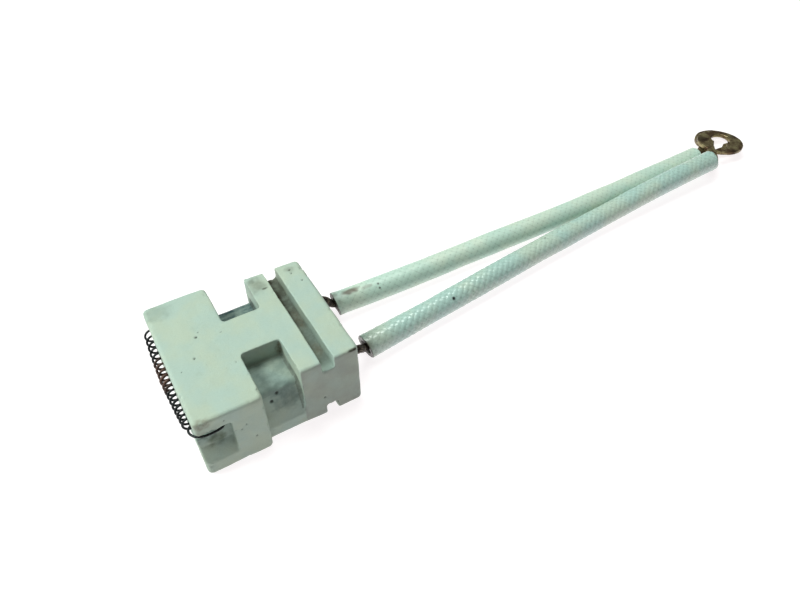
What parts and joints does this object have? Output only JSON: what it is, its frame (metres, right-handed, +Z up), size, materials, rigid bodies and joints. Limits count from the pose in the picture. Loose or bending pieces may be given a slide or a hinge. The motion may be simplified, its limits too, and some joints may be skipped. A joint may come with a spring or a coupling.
{
  "type": "ignition electrode",
  "caption": "Hot-coil igniter: pressed ceramic block with a resistance coil across its front and two fibre-sleeved leads ending in open ring terminals.",
  "frame": {"origin": "under the middle of the ceramic block and its coil, on the surface the block stands on", "axes": "+X from the coil towards the leads, +Z up through the top face, -Y the near side"},
  "size_m": [0.1245, 0.0265, 0.0112],
  "materials": {
    "ceramic": "unglazed pressed steatite, pale grey-green, soot in the grooves",
    "heater_wire": "oxidised resistance wire, dark grey with a red-brown burnt stretch",
    "ferrule": "plain crimped nickel-plated steel",
    "cement": "dry sandy sealing cement",
    "conductor": "twisted nickel strands, dulled by heat",
    "sleeve": "braided glass-fibre sleeving, pale blue-green, slightly glossy",
    "terminal": "tarnished brass-plated steel"
  },
  "bodies": {
    "root": {"ceramic_body": "ceramic", "heater_coil": "heater_wire", "near_splice_ferrule": "ferrule", "far_splice_ferrule": "ferrule", "near_cement_plug": "cement", "far_cement_plug": "cement", "near_lead_conductor": "conductor", "far_lead_conductor": "conductor", "near_lead_sleeve": "sleeve", "far_lead_sleeve": "sleeve", "near_hook_terminal": "terminal", "far_hook_terminal": "terminal"}
  },
  "joints": []
}
